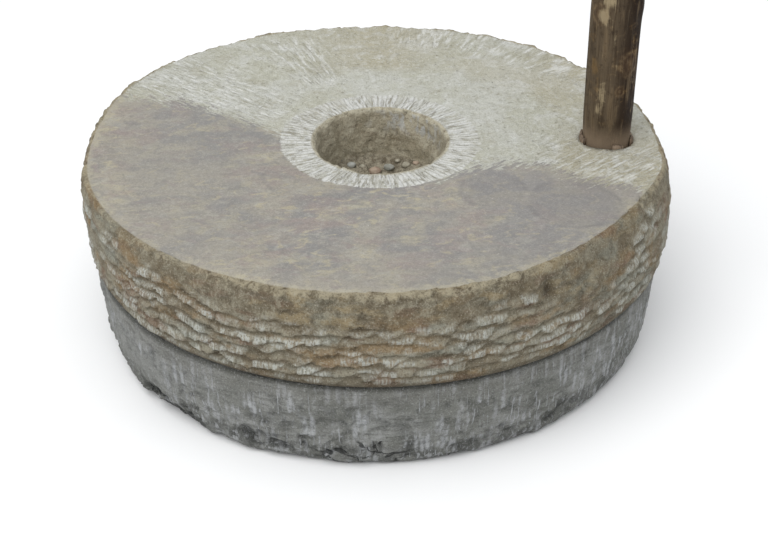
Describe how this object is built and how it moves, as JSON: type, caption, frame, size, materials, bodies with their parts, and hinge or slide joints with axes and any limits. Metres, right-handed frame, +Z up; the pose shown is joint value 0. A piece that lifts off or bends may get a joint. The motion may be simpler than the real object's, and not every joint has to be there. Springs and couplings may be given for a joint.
{
  "type": "rotary hand quern",
  "caption": "Stone hand mill: a runner stone with a hopper and an upright wooden handle turns on an iron spindle over a fixed bed stone, and lifts off for cleaning.",
  "frame": {"origin": "on the spindle's axis, at the bed stone's flat underside", "axes": "+Z up along the spindle, +X from the spindle to the handle, +Y to the back"},
  "size_m": [0.4965, 0.4964, 0.402],
  "materials": {
    "bed_stone": "rough grey sandstone, chiselled",
    "runner_stone": "rough tan sandstone, chiselled, worn smooth in part",
    "bush_wood": "end grain, dusty with meal",
    "iron": "forged, dark, bright where it rubs",
    "leather": "greased",
    "handle_wood": "weathered round branch",
    "wedge_wood": "split, weathered"
  },
  "bodies": {
    "bed": {"bed_stone": "bed_stone", "spindle_bush": "bush_wood", "spindle": "iron", "thrust_washer_lower": "leather", "thrust_washer_upper": "leather"},
    "rynd": {"rynd": "iron"},
    "runner": {"runner_stone": "runner_stone", "handle": "handle_wood", "handle_wedge_right": "wedge_wood", "handle_wedge_back": "wedge_wood", "handle_wedge_left": "wedge_wood", "handle_wedge_front": "wedge_wood"}
  },
  "joints": [
    {"name": "runner_turn", "type": "hinge", "parent": "bed", "child": "rynd", "pos_m": [0, 0, 0.095], "axis": [0, 0, 1], "continuous": true},
    {"name": "runner_lift", "type": "slide", "parent": "rynd", "child": "runner", "axis": [0, 0, 1], "range_m": [0, 0.1]}
  ]
}
